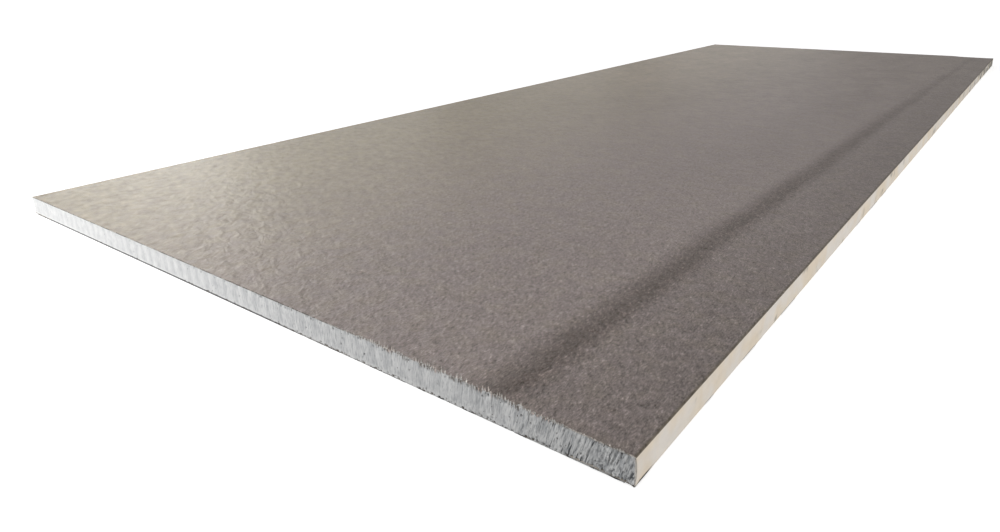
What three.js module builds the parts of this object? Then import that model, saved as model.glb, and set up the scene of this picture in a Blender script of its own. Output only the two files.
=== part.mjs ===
// A drywall sheet: a cast gypsum core between two sheets of paper. The face sheet covers the upper
// side, goes down round both long edges and is folded in under the board. The back sheet covers the
// underside and laps over those folds. The short ends are cut, so the raw core shows there.
//
// Millimetres, +Z up. The board lies face up with its length along Y and its recessed edge at +X.
// The middle of its underside is the origin.

import * as THREE from 'three';

// Driving dimensions of a 5/8 inch board, 24 inches wide and 60 inches long
const BOARD_LENGTH = 1525;
const BOARD_WIDTH = 610;
const BOARD_THICKNESS = 15.9;
const FACE_PAPER = 0.5;
const BACK_PAPER = 0.4;

// The recess along one long edge, which leaves room for joint tape and filler: a short ramp drops
// the face, and from the foot of the ramp the face falls slowly to the edge
const RECESS_WIDTH = 78;
const RAMP_WIDTH = 28;
const RAMP_DROP = 0.9;
const EDGE_DROP = 1;

// The long edges, and the lap of the two sheets under them
const ARRIS_RADIUS = 1;
const FOLD_WIDTH = 32;
const BACK_MARGIN = 5;

// Facets
const RAMP_STEPS = 12;
const ARRIS_STEPS = 6;

const HALF_WIDTH = BOARD_WIDTH / 2;
const FOLD_END = HALF_WIDTH - FOLD_WIDTH;

// How far the recessed face lies below the full thickness, at a distance from its long edge
function recessDepth(fromEdge) {
  const rampFoot = RECESS_WIDTH - RAMP_WIDTH;
  if (fromEdge > rampFoot) {
    return RAMP_DROP * THREE.MathUtils.smoothstep(RECESS_WIDTH - fromEdge, 0, RAMP_WIDTH);
  }
  return THREE.MathUtils.lerp(EDGE_DROP, RAMP_DROP, fromEdge / rampFoot);
}

// The ramp of the recess, from its head to its foot, at a depth inside the outer surface
function rampPoints(inset) {
  const points = [];
  for (let step = 0; step <= RAMP_STEPS; step += 1) {
    const fromEdge = RECESS_WIDTH - (RAMP_WIDTH * step) / RAMP_STEPS;
    const height = BOARD_THICKNESS - recessDepth(fromEdge) - inset;
    points.push(new THREE.Vector2(HALF_WIDTH - fromEdge, height));
  }
  return points;
}

// A long edge of a face that is this much below full thickness: an arris, the upright side and an
// arris below. Both arrises keep their centres at every inset, so the paper has an even thickness.
function edgePoints(drop, inset) {
  const centreX = HALF_WIDTH - ARRIS_RADIUS;
  const upperZ = BOARD_THICKNESS - drop - ARRIS_RADIUS;
  const lowerZ = BACK_PAPER + ARRIS_RADIUS;
  const radius = ARRIS_RADIUS - inset;
  const quarter = Math.PI / 2;
  const upper = new THREE.EllipseCurve(centreX, upperZ, radius, radius, quarter, 0, true);
  const lower = new THREE.EllipseCurve(centreX, lowerZ, radius, radius, 0, -quarter, true);
  return [...upper.getPoints(ARRIS_STEPS), ...lower.getPoints(ARRIS_STEPS)];
}

function mirrored(points) {
  return points.map((point) => new THREE.Vector2(-point.x, point.y)).reverse();
}

// The line of the face sheet at a depth inside the outer surface, from the end of one fold, round the
// square edge, over the face, down the recess and round its edge, to the end of the other fold
function faceLine(inset) {
  const foldHeight = BACK_PAPER + inset;
  return [
    new THREE.Vector2(-FOLD_END, foldHeight),
    ...mirrored(edgePoints(0, inset)),
    ...rampPoints(inset),
    ...edgePoints(EDGE_DROP, inset),
    new THREE.Vector2(FOLD_END, foldHeight),
  ];
}

// Runs a section of the board along the whole length
function alongBoard(section) {
  const geometry = new THREE.ExtrudeGeometry(new THREE.Shape(section), {
    depth: BOARD_LENGTH,
    steps: 1,
    bevelEnabled: false,
  });
  geometry.translate(0, 0, -BOARD_LENGTH / 2);
  geometry.rotateX(Math.PI / 2);
  return geometry;
}

// Gypsum cast against the face sheet. Its underside is rebated for the two folds.
function gypsumCore() {
  const section = [
    ...faceLine(FACE_PAPER),
    new THREE.Vector2(FOLD_END, BACK_PAPER),
    new THREE.Vector2(-FOLD_END, BACK_PAPER),
  ];
  const gypsum = new THREE.MeshStandardMaterial({ color: 0xe2e3e3, roughness: 0.95, metalness: 0 });
  return new THREE.Mesh(alongBoard(section), gypsum);
}

// One sheet round the face and both long edges
function facePaper() {
  const section = [...faceLine(0), ...faceLine(FACE_PAPER).reverse()];
  const paper = new THREE.MeshStandardMaterial({ color: 0x8f8781, roughness: 0.85, metalness: 0 });
  return new THREE.Mesh(alongBoard(section), paper);
}

// The flat sheet that the board lies on. It stops short of the long edges and covers the folds.
function backPaper() {
  const halfSheet = HALF_WIDTH - BACK_MARGIN;
  const section = [
    new THREE.Vector2(-halfSheet, 0),
    new THREE.Vector2(halfSheet, 0),
    new THREE.Vector2(halfSheet, BACK_PAPER),
    new THREE.Vector2(-halfSheet, BACK_PAPER),
  ];
  const paper = new THREE.MeshStandardMaterial({ color: 0x857b72, roughness: 0.9, metalness: 0 });
  return new THREE.Mesh(alongBoard(section), paper);
}

const pieces = {
  gypsum_core: gypsumCore(),
  face_paper: facePaper(),
  back_paper: backPaper(),
};

const board = new THREE.Group();
for (const [name, piece] of Object.entries(pieces)) {
  piece.name = name;
  board.add(piece);
}

export default board;
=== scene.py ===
# %% [markdown]
# # A drywall sheet
# A drywall sheet is a gypsum core cast between two papers. The face paper covers the upper side, goes
# down both long edges and is folded in under the board, and the back paper laps over those folds. The
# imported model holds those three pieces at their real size. This lesson dresses them: the fibres of the
# paper, the torn paper at the cut ends, and the rough gypsum between.

# %% Load the frame
import math

import bpy
import numpy as np
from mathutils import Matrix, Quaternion, Vector


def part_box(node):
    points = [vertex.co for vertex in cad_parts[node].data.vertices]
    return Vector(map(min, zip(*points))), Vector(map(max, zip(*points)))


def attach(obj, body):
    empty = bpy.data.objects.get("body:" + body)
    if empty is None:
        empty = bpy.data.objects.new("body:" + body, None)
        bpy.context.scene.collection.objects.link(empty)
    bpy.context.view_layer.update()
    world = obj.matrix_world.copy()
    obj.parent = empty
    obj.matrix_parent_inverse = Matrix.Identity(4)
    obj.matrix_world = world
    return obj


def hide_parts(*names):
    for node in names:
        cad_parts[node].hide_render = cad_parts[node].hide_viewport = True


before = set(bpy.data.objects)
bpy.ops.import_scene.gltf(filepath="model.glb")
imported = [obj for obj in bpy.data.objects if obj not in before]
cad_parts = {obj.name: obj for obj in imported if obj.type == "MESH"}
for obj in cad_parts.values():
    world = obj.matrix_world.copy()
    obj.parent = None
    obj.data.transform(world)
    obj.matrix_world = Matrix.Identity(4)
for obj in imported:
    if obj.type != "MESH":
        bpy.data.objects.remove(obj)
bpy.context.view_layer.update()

print("frame nodes:", sorted(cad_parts))

# %% [markdown]
# ## The board's own sizes
# The frame gives the outside of every piece, so most sizes are read from it and not typed again. The
# shape of the recess can't be read from a box, so its few numbers repeat the ones the solids are made
# from. Two are this script's own: the paper turns more tightly under the board than in the solids, and
# its fold sags a little there. All lengths are in metres, and MM turns millimetres into metres.

# %% Sizes
MM = 0.001

_, face_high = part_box("face_paper")
core_low, core_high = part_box("gypsum_core")
back_low, back_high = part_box("back_paper")

half_width = face_high.x
half_length = face_high.y
board_top = face_high.z
back_paper_thickness = back_high.z
face_paper_thickness = face_high.x - core_high.x

RECESS_WIDTH = 78 * MM
RAMP_WIDTH = 28 * MM
RAMP_DROP = 0.9 * MM
EDGE_DROP = 1 * MM
ARRIS_RADIUS = 1 * MM
FOLD_WIDTH = 32 * MM
FOLD_RADIUS = 0.6 * MM
FOLD_SAG = 0.36 * MM

print("board", [round(2 * half_width / MM), round(2 * half_length / MM), round(board_top / MM, 1)], "mm")

# %% [markdown]
# ## The camera
# The sheet is seen from just above its near right corner with a fairly wide lens, which makes the far
# end look small. A camera can be turned by Euler angles, but a point to look from, a point to look at
# and a small roll are easier to read and to change.

# %% Camera
EYE = Vector((0.414, -0.971, 0.200))
AIM = Vector((0.081, -0.519, 0.016))
ROLL = math.radians(-0.9)
LENS, SENSOR_WIDTH = 25.1, 36
SHIFT_X, SHIFT_Y = -0.042, -0.066
NEAREST_SEEN = 0.01


def add_object(name, data):
    """Puts a new object that holds this data into the scene."""
    made = bpy.data.objects.new(name, data)
    bpy.context.scene.collection.objects.link(made)
    return made


camera_data = bpy.data.cameras.new("camera")
camera_data.lens = LENS
camera_data.sensor_width = SENSOR_WIDTH
camera_data.shift_x = SHIFT_X
camera_data.shift_y = SHIFT_Y
camera_data.clip_start = NEAREST_SEEN
camera = add_object("camera", camera_data)
camera.location = EYE
camera.rotation_mode = "QUATERNION"
camera.rotation_quaternion = (AIM - EYE).to_track_quat("-Z", "Y") @ Quaternion((0, 0, 1), ROLL)
bpy.context.scene.camera = camera
bpy.context.scene.view_settings.view_transform = "Standard"
print("camera is", round((AIM - EYE).length, 3), "m from the point it looks at")

# %% [markdown]
# ## Small tools for shader nodes
# A material is a tree of nodes, and each output of a node is a number, a colour or a direction that
# changes over the surface. A small class stands for such an output here. It lets Python's own signs
# make the maths nodes, so a mask is written as a plain sum or product and not as a stack of nodes.

# %% Node helpers
def feed(node, values):
    """Fills a node's inputs by name or number, and links the fields among the values."""
    for key, value in values.items():
        if isinstance(value, Field):
            node.id_data.links.new(value.socket, node.inputs[key])
        else:
            node.inputs[key].default_value = value


def add_node(tree, kind, inputs=None, **settings):
    """Makes a node, sets its properties and then feeds it."""
    node = tree.nodes.new(kind)
    for name, value in settings.items():
        setattr(node, name, value)
    feed(node, inputs or {})
    return node


def make_field(tree, kind, inputs=None, output=0, **settings):
    """Makes a node and gives one of its outputs as a field."""
    return Field(add_node(tree, kind, inputs, **settings).outputs[output])


def maths(operation, *values):
    """One maths node. At least one of the values is a field."""
    tree = next(value.tree for value in values if isinstance(value, Field))
    return make_field(tree, "ShaderNodeMath", dict(enumerate(values)), operation=operation)


class Field:
    """One output of a node. Sums, differences and products of fields make maths nodes."""

    def __init__(self, socket):
        self.socket = socket
        self.tree = socket.id_data

    def __add__(self, other):
        return maths("ADD", self, other)

    def __sub__(self, other):
        return maths("SUBTRACT", self, other)

    def __rsub__(self, other):
        return maths("SUBTRACT", other, self)

    def __mul__(self, other):
        return maths("MULTIPLY", self, other)

    def clamped(self):
        """The same number, held between 0 and 1. Only for the output of a maths node."""
        self.socket.node.use_clamp = True
        return self

    def ramp(self, low, high, at_low=0.0, at_high=1.0, shape="SMOOTHSTEP"):
        """Goes from one number to another while this one goes from low to high."""
        inputs = {"Value": self, "From Min": low, "From Max": high, "To Min": at_low, "To Max": at_high}
        return make_field(self.tree, "ShaderNodeMapRange", inputs, interpolation_type=shape)

    def between(self, first, second):
        """Goes from the first number to the second while this one goes from 0 to 1."""
        return make_field(self.tree, "ShaderNodeMix", {0: self, 2: first, 3: second})


print("fields join with + and - and *")

# %% [markdown]
# ## Laying one tone over another
# A real surface is built up in layers, such as paper, dirt and wear, and a material can be built up in
# the same way. Each layer is a Mix node with a tone and a mask that says where the tone shows. Relief
# that is too fine for a mesh goes through a Bump node. Tones are typed as a paint chart gives them,
# from 0 to 255, and turned into the linear values that shaders use.

# %% Layers of a material
def blend(mask, first, second):
    """The first colour where the mask is 0 and the second where it is 1."""
    return make_field(mask.tree, "ShaderNodeMix", {0: mask, 6: first, 7: second}, output=2, data_type="RGBA")


def layered(colour, *layers):
    """Lays tones over a colour, one after another, each where its mask is near 1."""
    for mask, tone in layers:
        colour = blend(mask, colour, tone)
    return colour


def toned(colour, tone):
    """A colour made lighter or darker by a tone near 1. A plain colour is given without its alpha."""
    return make_field(tone.tree, "ShaderNodeVectorMath", {0: colour, 1: tone}, operation="MULTIPLY")


def bumped(height, relief):
    """The normal of a surface with this relief. A height of 1 stands for so many metres."""
    inputs = {"Height": height, "Strength": 1.0, "Distance": relief}
    return make_field(height.tree, "ShaderNodeBump", inputs)


def new_material(name):
    """An empty material. Gives it with its tree and its Principled shader."""
    material = bpy.data.materials.new(name)
    material.use_nodes = True
    tree = material.node_tree
    return material, tree, tree.nodes["Principled BSDF"]


def srgb(red, green, blue):
    """A colour typed from 0 to 255, in the linear values that shaders use."""
    def linear(channel):
        part = channel / 255
        return part / 12.92 if part <= 0.04045 else ((part + 0.055) / 1.055) ** 2.4
    return (linear(red), linear(green), linear(blue), 1.0)


print("a middle grey is", round(srgb(128, 128, 128)[0], 3), "to a shader")

# %% [markdown]
# ## The floor and the air round it
# The sheet lies on a plain pale floor. The floor has to look white to the camera and still show the
# sheet's shadow, and it must not throw too much light up under the edges. So the camera's own rays see
# plain white laid over the lit floor, a little less of it close to the sheet than far away, and all
# other rays see a grey floor that is only lit.

# %% Floor and world
FLOOR_SIZE = 30.0
FLOOR_BOUNCE = srgb(168, 168, 168)
FLOOR_SEEN = srgb(236, 236, 236)
WHITE = (1.0, 1.0, 1.0, 1.0)
WHITE_NEAR_SHEET = 0.58
WHITE_GROWS = (0.9, 2.2)
AMBIENT = 0.461


def camera_rays(tree):
    """1 for the camera's own rays and 0 for all others."""
    return make_field(tree, "ShaderNodeLightPath", output="Is Camera Ray")


def make_floor_finish():
    material, tree, lit = new_material("studio_floor")
    seen = camera_rays(tree)
    colour = blend(seen, FLOOR_BOUNCE, FLOOR_SEEN)
    feed(lit, {"Roughness": 1.0, "Specular IOR Level": 0.0, "Base Color": colour})
    place = make_field(tree, "ShaderNodeTexCoord", output="Object")
    away = make_field(tree, "ShaderNodeVectorMath", {0: place}, "Value", operation="LENGTH")
    share = away.ramp(*WHITE_GROWS, WHITE_NEAR_SHEET, 1.0, "LINEAR") * seen
    plain_white = make_field(tree, "ShaderNodeEmission", {"Color": WHITE, "Strength": share})
    both = make_field(tree, "ShaderNodeAddShader", {0: Field(lit.outputs[0]), 1: plain_white})
    feed(tree.nodes["Material Output"], {"Surface": both})
    return material


def make_floor():
    half = FLOOR_SIZE / 2
    mesh = bpy.data.meshes.new("studio_floor")
    corners = [(-half, -half, 0), (half, -half, 0), (half, half, 0), (-half, half, 0)]
    mesh.from_pydata(corners, [], [(0, 1, 2, 3)])
    mesh.materials.append(make_floor_finish())
    floor = add_object("studio_floor", mesh)


def make_world():
    world = bpy.data.worlds.new("studio_air")
    world.use_nodes = True
    strength = camera_rays(world.node_tree).between(AMBIENT, 1.0)
    feed(world.node_tree.nodes["Background"], {"Color": WHITE, "Strength": strength})
    bpy.context.scene.world = world


make_floor()
make_world()
print("floor is", FLOOR_SIZE, "m wide, ambient light", AMBIENT)

# %% [markdown]
# ## The lamps
# Large soft lamps near the object give soft shadows, as a studio's softboxes do, where a point lamp
# would give hard ones. One stands low at the left, so that its light skims over the face and shows the
# fibres. A smaller one beside it gives the sheen near the left corner. One before that corner makes the
# cut end grow darker away from it. One at the right lights the long edge, and two behind the board lift
# its far end a little. The world adds an even light, so no shadow is black.

# %% Lamps
def softbox(name, place, aim, width, height, watts):
    """A soft rectangular lamp at a place, turned towards another. All but the watts is in metres."""
    data = bpy.data.lights.new(name, "AREA")
    data.shape = "RECTANGLE"
    data.size, data.size_y, data.energy = width, height, watts
    lamp = add_object(name, data)
    lamp.location = place
    lamp.rotation_euler = (Vector(aim) - Vector(place)).to_track_quat("-Z", "Y").to_euler()


near_left_corner = (-half_width, -half_length, board_top)
softbox("skimming_lamp", (-1.5, 0.35, 0.5), (-0.1, 0, 0), 1.0, 0.5, 2.2)
softbox("sheen_lamp", (-1.3, -0.3, 0.42), (-0.25, -0.68, 0), 0.5, 0.35, 2.6)
softbox("corner_lamp", (-0.4, -1.35, 0.3), near_left_corner, 0.4, 0.2, 4.1)
softbox("edge_lamp", (1.8, -0.3, 0.3), (half_width, -0.25, 0), 1.4, 0.5, 15.9)
softbox("rear_left_lamp", (-0.9, 0.9, 0.35), (-0.2, 0.75, 0), 0.6, 0.3, 0.45)
softbox("far_lamp", (-0.5, 1.5, 0.3), (-0.1, 0.76, 0), 0.6, 0.2, 0.35)

# %% [markdown]
# ## Where a shaded point lies
# Most marks on this board depend on where they are: how far across it, along it and up from the floor.
# The object coordinates give that, and they stay with the board from every side. Noise textures do the
# rest. One of them reads a single number, so it is the same all along a line.

# %% Place and noise
class Spot:
    """The place of a shaded point. Across is 0 in the middle and grows towards the recessed edge."""

    def __init__(self, tree):
        self.place = make_field(tree, "ShaderNodeTexCoord", output="Object")
        axes = add_node(tree, "ShaderNodeSeparateXYZ", {0: self.place})
        self.across, self.along, self.up = map(Field, axes.outputs)

    def across_ramp(self, low, high, *ends):
        """A ramp across the board. Low and high are parts of its half width."""
        return self.across.ramp(low * half_width, high * half_width, *ends)

    def along_ramp(self, low, high, *ends):
        """A ramp along the board, from the front. Low and high are parts of its half length."""
        return self.along.ramp(low * half_length, high * half_length, *ends)


def noise(place, scale, detail=2.0, roughness=0.5, distortion=0.0):
    """A noise texture's value, moved so that its middle is 0."""
    inputs = {"Vector": place, "Scale": scale, "Detail": detail, "Roughness": roughness}
    return make_field(place.tree, "ShaderNodeTexNoise", {**inputs, "Distortion": distortion}) - 0.5


def line_noise(value, scale, detail=2.0):
    """A random number, with 0 in the middle, that depends on one number alone."""
    inputs = {"W": value, "Scale": scale, "Detail": detail}
    return make_field(value.tree, "ShaderNodeTexNoise", inputs, noise_dimensions="1D") - 0.5


print("one board length is", round(2 * half_length, 4), "m in these coordinates")

# %% [markdown]
# ## Node groups
# An effect that several materials show is built once, as a node group with named inputs and outputs,
# and placed in each of them with its own values. Copying its nodes into every material would work too,
# but then each change has to be made many times.

# %% Group helpers
def new_group(name, inputs):
    """A shader node group with named number inputs. Gives the group and its inputs as fields."""
    group = bpy.data.node_groups.new(name, "ShaderNodeTree")
    for label, default in inputs.items():
        socket = group.interface.new_socket(label, in_out="INPUT", socket_type="NodeSocketFloat")
        socket.default_value = default
    start = group.nodes.new("NodeGroupInput")
    return group, {label: Field(start.outputs[label]) for label in inputs}


def give_outputs(group, outputs):
    """Names a group's outputs and links a field to each of them."""
    for label in outputs:
        group.interface.new_socket(label, in_out="OUTPUT", socket_type="NodeSocketFloat")
    feed(group.nodes.new("NodeGroupOutput"), outputs)


print("a group's inputs and outputs are single numbers")

# %% [markdown]
# ## Fibres in paper
# Both papers of a board are made of recycled fibres, which the paper machine lays more or less along
# the board and which cross each other. Seen close they give short soft flecks, thin paler hairs, fine
# grain, slow ripples and cloudy mottling. One group makes all of them from noise that is stretched
# along three directions: grain and hairs lie nearly along the board, fine flecks cross them, and
# coarse flecks and ripples lie nearly across it. Dark flecks are made a little stronger than pale ones.
# Each paper sets how strong every part is.

# %% Paper fibre group
LENGTH_LEAN = math.radians(3)
CROSSING_LEAN = math.radians(40)
COARSE_LEAN = math.radians(68)
FLECK_STRETCH = (1.0, 0.36, 1.0)
COARSE_STRETCH = (1.0, 0.6, 1.0)
FLECK_BOLDNESS = 1.5
PALE_LOSS = -0.65
HAIR_SHARPNESS = 24.0
HAIR_RELIEF = 0.15
RIPPLES_PER_METRE = 108.0
CLOUDS_PER_METRE = 26.0


def leaning(place, lean, stretch=FLECK_STRETCH):
    """Coordinates in which flecks grow long along a direction that leans from the board's length."""
    turn = {"Vector": place, "Angle": -lean}
    turned = make_field(place.tree, "ShaderNodeVectorRotate", turn, rotation_type="Z_AXIS")
    return make_field(place.tree, "ShaderNodeVectorMath", {0: turned, 1: stretch}, operation="MULTIPLY")


def make_fibre_group():
    group, given = new_group("paper_fibres", {
        "Fibres per Metre": 700.0, "Fleck Contrast": 0.3, "Fine": 1.0, "Grain": 1.0, "Coarse": 0.0,
        "Hair Contrast": 0.2, "Mottle Contrast": 0.1, "Ripple": 1.0, "Fleck Relief": 0.25})
    place = Spot(group).place
    counted = {0: place, "Scale": given["Fibres per Metre"]}
    scaled = make_field(group, "ShaderNodeVectorMath", counted, operation="SCALE")
    crossing = noise(leaning(scaled, CROSSING_LEAN), 1.0, roughness=0.6)
    lengthwise = noise(leaning(scaled, LENGTH_LEAN), 0.83, roughness=0.6)
    grain = noise(leaning(scaled, LENGTH_LEAN), 2.2, roughness=0.7)
    coarse = noise(leaning(scaled, COARSE_LEAN, COARSE_STRETCH), 0.33, detail=1.0)
    hairs = noise(leaning(scaled, LENGTH_LEAN), 0.5, detail=1.0, distortion=2.2)
    ripples = noise(leaning(place, COARSE_LEAN, COARSE_STRETCH), RIPPLES_PER_METRE, distortion=0.4)
    clouds = noise(place, CLOUDS_PER_METRE, detail=4.0)

    fleck = (crossing + lengthwise) * given["Fine"] + grain * given["Grain"] + coarse * given["Coarse"]
    fleck = fleck * (maths("ABSOLUTE", fleck) * FLECK_BOLDNESS + fleck * PALE_LOSS + 1.0)
    hair = (1.0 - maths("ABSOLUTE", hairs) * HAIR_SHARPNESS).clamped()
    tone = maths("EXPONENT", fleck * given["Fleck Contrast"]) + hair * given["Hair Contrast"]
    tone = tone + (clouds + ripples) * given["Mottle Contrast"]
    height = fleck * given["Fleck Relief"] + hair * HAIR_RELIEF + ripples * given["Ripple"]
    give_outputs(group, {"Tone": tone, "Height": height})
    return group


fibre_group = make_fibre_group()
print("group", fibre_group.name, "has", len(fibre_group.nodes), "nodes")

# %% [markdown]
# ## Paper materials
# Every paper here is the same fibre group under a Principled shader. Its tone colours the paper and its
# height goes into a bump node, because fibres are far thinner than a mesh could show. A small class
# makes the shared part once, and each finish adds its own colours and marks.

# %% Paper material
class Paper:
    """A paper's material: its tree, its Principled shader, and the node with the fibres."""

    def __init__(self, name, fibres, fleck, hair, mottle, ripple, roughness, relief):
        self.material, self.tree, self.shader = new_material(name)
        self.weave = add_node(self.tree, "ShaderNodeGroup", {
            "Fibres per Metre": fibres, "Fleck Contrast": fleck, "Hair Contrast": hair,
            "Mottle Contrast": mottle, "Ripple": ripple}, node_tree=fibre_group)
        normal = bumped(Field(self.weave.outputs["Height"]), relief)
        feed(self.shader, {"Roughness": roughness, "Normal": normal})

    def painted(self, colour):
        """Colours the paper, lighter and darker where the fibres are. Gives the material."""
        feed(self.shader, {"Base Color": toned(colour, Field(self.weave.outputs["Tone"]))})
        return self.material


print("papers use the group", fibre_group.name)

# %% [markdown]
# ## Lifted fibres
# A blade that cuts the sheet from below lifts the top fibres of the paper. They lie slanted on the
# face, each with its own length, and gather in tufts. A random number that depends only on which
# slanted line a point is on gives every line its own reach back from the cut, and a point nearer to
# the cut than that reach is pale. The face and the torn rim below it share the lines.

# %% Lifted fibre group
LIFT_LEAN = (1.44, 0.65)
LIFT_LEAN_FROM = (0.2 * half_width, 0.9 * half_width)
LIFT_REACH = 5 * MM
STROKES_PER_METRE, TUFTS_PER_METRE = 800.0, 130.0
STROKE_SHARE, TUFT_SHARE, PLAIN_SHARE = 2.4, 1.4, 0.14
PALE_UP_TO = 0.6
ROUGH_FROM = (0.34 * half_width, 0.5 * half_width)
ROUGH_TO = (0.8 * half_width, 0.92 * half_width)
ROUGH_AT_EDGE = 0.35


def make_lift_group():
    group, given = new_group("lifted_fibres", {"Reach": LIFT_REACH})
    spot = Spot(group)
    back = half_length - maths("ABSOLUTE", spot.along)
    line = back * spot.across.ramp(*LIFT_LEAN_FROM, *LIFT_LEAN, "LINEAR") + spot.across
    stroke = line_noise(line, STROKES_PER_METRE, detail=1.0)
    tuft = line_noise(line, TUFTS_PER_METRE)
    rough = spot.across.ramp(*ROUGH_FROM) * spot.across.ramp(*ROUGH_TO, 1.0, ROUGH_AT_EDGE)
    share = (stroke * STROKE_SHARE + tuft * TUFT_SHARE + PLAIN_SHARE).clamped()
    reach = share * rough * given["Reach"]
    pale = back.ramp(reach * PALE_UP_TO, reach, 1.0, 0.0)
    give_outputs(group, {"Pale": pale, "Stroke": stroke, "Rough": rough, "Line": line})
    return group


def lifted_fibres(tree):
    """Places the group in a material. Gives its outputs by name."""
    node = add_node(tree, "ShaderNodeGroup", node_tree=lift_group)
    return {socket.name: Field(socket) for socket in node.outputs}


lift_group = make_lift_group()
print("group", lift_group.name, "has", len(lift_group.nodes), "nodes")

# %% [markdown]
# ## The painted shade of the ramp
# The ramp of the recess turns away from the light, and its shade is painted on the face as a darker band
# along it. The band is wide and strong at the near end and thin and faint at the far one, and it drifts
# a little towards the edge. A painted mask could draw it, but this one stays sharp at any size: it is
# the product of two soft sides and a strength, all worked out from the place on the board.

# %% Painted band of shade
BAND_SHADE_NEAR, BAND_SHADE_FAR = half_width - 71 * MM, half_width - 36 * MM
BAND_SHADE_INNER_WIDTH = (26 * MM, 9 * MM)
BAND_SHADE_OUTER_WIDTH = (16 * MM, 8 * MM)
BAND_SHADE_STRENGTH = (0.97, 0.25)
BAND_SHADE_WANDER = 9 * MM
BAND_SHADE_PATCHES = 0.5


def painted_band_shade(spot):
    """1 in the middle of the band of painted shade along the ramp and 0 away from it."""
    wander = noise(spot.place, 9.0, detail=3.0) * BAND_SHADE_WANDER
    off_middle = spot.across - (wander + spot.along_ramp(-1, 1, BAND_SHADE_NEAR, BAND_SHADE_FAR, "LINEAR"))
    inner_width = spot.along_ramp(-1, 1, *BAND_SHADE_INNER_WIDTH, "LINEAR")
    outer_width = spot.along_ramp(-1, 1, *BAND_SHADE_OUTER_WIDTH, "LINEAR")
    # The band is painted shade: the ramp of the recess turns away from the light.
    sides = off_middle.ramp(inner_width * -1.0, 0.0) * off_middle.ramp(0.0, outer_width, 1.0, 0.0)
    strength = spot.along_ramp(-0.4, 1, *BAND_SHADE_STRENGTH, "LINEAR") + noise(spot.place, 30.0) * BAND_SHADE_PATCHES
    return (sides * strength).clamped()


print("the rubbed band starts", round((half_width - BAND_SHADE_NEAR) / MM), "mm from the edge")

# %% [markdown]
# ## Painted light and shade on the face
# The face does not look the same everywhere. The margin past the ramp is painted darker, as shade, most
# of all beside the arris. Long soft clouds of tone run along the board towards the rear. The left half
# has painted light towards the rear and painted shade at the front, and the right part, away from the
# front, has painted shade. Shades painted by hand would fit one size of board only, so each is a ramp
# across the board times a ramp along it. A pair of numbers holds the two ends of such a ramp.

# %% Shades of the face
MARGIN_PAINTED_SHADE = (0.8, 0.94)
ARRIS_PAINTED_SHADE = 0.91
ARRIS_PAINTED_SHADE_FROM = (half_width - 48 * MM, half_width - 10 * MM)
LEFT_PAINTED_LIGHT_AND_SHADE = (-0.06, 0.1)
RIGHT_PAINTED_SHADE = (0.0, -0.09)
CLOUD_STRETCH = (1, 0.12, 1)
LONG_CLOUDS_PER_METRE = 45.0
LONG_CLOUDS = (0.02, 0.13)
WARM_ACROSS = (0.88, 0.04)
WARM_ALONG = (1.1, 0.45)
WARM_REAR = (0.0, 0.16)
WARM_PATCHES = 0.8


def margin_mask(spot):
    """0 on the flat face and 1 past the foot of the ramp."""
    ramp_top = half_width - RECESS_WIDTH
    return spot.across.ramp(ramp_top, ramp_top + RAMP_WIDTH)


def face_tone_and_painted_light(spot):
    """How light or dark the face is, near 1: long clouds of tone, with painted light and shade over them."""
    # Painted shade on the margin past the ramp, and more of it beside the arris.
    shade = margin_mask(spot).between(1.0, spot.along_ramp(-1, 1, *MARGIN_PAINTED_SHADE))
    shade_by_arris = spot.across.ramp(*ARRIS_PAINTED_SHADE_FROM, 1.0, ARRIS_PAINTED_SHADE)
    long_clouds = noise(leaning(spot.place, 0.0, CLOUD_STRETCH), LONG_CLOUDS_PER_METRE)
    long_clouds = long_clouds * spot.along_ramp(-0.3, 0.5, *LONG_CLOUDS)
    # Painted light at the rear of the left half and painted shade at its front; painted shade on the right
    # part away from the front.
    left = spot.across_ramp(-0.6, 0, 1.0, 0.0) * spot.along_ramp(-0.2, 0.35, *LEFT_PAINTED_LIGHT_AND_SHADE)
    right = spot.across_ramp(0.3, 0.62) * spot.along_ramp(-0.65, -0.3, *RIGHT_PAINTED_SHADE)
    return shade * shade_by_arris * (long_clouds + 1.0) * (left + right + 1.0)


def warmth_and_painted_sheen(spot):
    """How yellow the grey is: most at the left and the front, where it is a painted warm sheen, and in small
    patches.
    """
    warmth = spot.across_ramp(-0.9, 0.5, *WARM_ACROSS) * spot.along_ramp(-1, 1, *WARM_ALONG)
    warmth = warmth + spot.along_ramp(-0.4, 1, *WARM_REAR) + noise(spot.place, 70.0) * WARM_PATCHES
    return warmth.clamped()


print("the margin is", round((RECESS_WIDTH - RAMP_WIDTH) / MM), "mm wide")

# %% [markdown]
# ## The felt of the face
# The face paper feels like felt. Its left side is coarse and soft, and towards the recess the flecks are
# finer and crisper. Slow ripples run over all of it, strongest near the cut end. Several materials side
# by side would show their borders, so the inputs of the fibre group are not plain numbers here: each is
# a ramp over the board, from one value to another.

# %% Felt
FELT_CONTRAST = (0.7, 0.82)
FELT_FADE = (0.42, 0.6)
FELT_CALM_LEFT = 0.6
FELT_BAND_GAIN = 0.5
FELT_MOTTLE = (0.15, 0.45)
FELT_GRAIN = (0.1, 2.1)
FELT_FINE = (0.25, 1.0)
FELT_COARSE = (1.5, 0.0)
FELT_RELIEF = (0.08, 0.25)
FELT_RIPPLE = (2.0, 3.0)
RIPPLE_FADE = (1.2, 0.5)


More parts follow.
